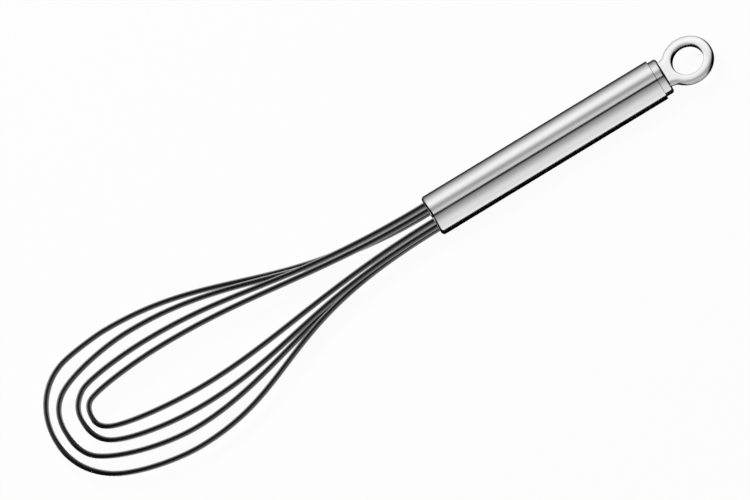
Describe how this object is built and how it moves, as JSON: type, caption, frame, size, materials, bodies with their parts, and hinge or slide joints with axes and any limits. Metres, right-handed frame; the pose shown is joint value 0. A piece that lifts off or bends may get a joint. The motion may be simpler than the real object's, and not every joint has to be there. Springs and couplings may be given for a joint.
{
  "type": "flat whisk",
  "caption": "Flat whisk with nested loops of black coated wire on a round satin steel handle with a hanging ring.",
  "frame": {"origin": "centre of the bounding box in X and Y, on the plane that the handle tube lies on", "axes": "+X from the tip of the loops along the handle to the hanging ring, +Z the normal of the flat head, towards its front"},
  "size_m": [0.27, 0.0615, 0.0154],
  "materials": {
    "satin_steel": "satin, very fine grain along the tube",
    "cap_steel": "satin, turned",
    "ring_steel": "tumbled satin with rounded edges",
    "plug_plastic": "moulded, matte",
    "anchor_steel": "as machined",
    "spring_steel": "drawn wire",
    "black_silicone": "satin black, moulded on the wire"
  },
  "bodies": {
    "root": {"handle_tube": "satin_steel", "end_cap": "cap_steel", "hanging_ring": "ring_steel", "mouth_plug": "plug_plastic", "anchor_plate": "anchor_steel", "wire_core_1": "spring_steel", "wire_core_2": "spring_steel", "wire_core_3": "spring_steel", "wire_core_4": "spring_steel", "wire_coat_1": "black_silicone", "wire_coat_2": "black_silicone", "wire_coat_3": "black_silicone", "wire_coat_4": "black_silicone"}
  },
  "joints": []
}
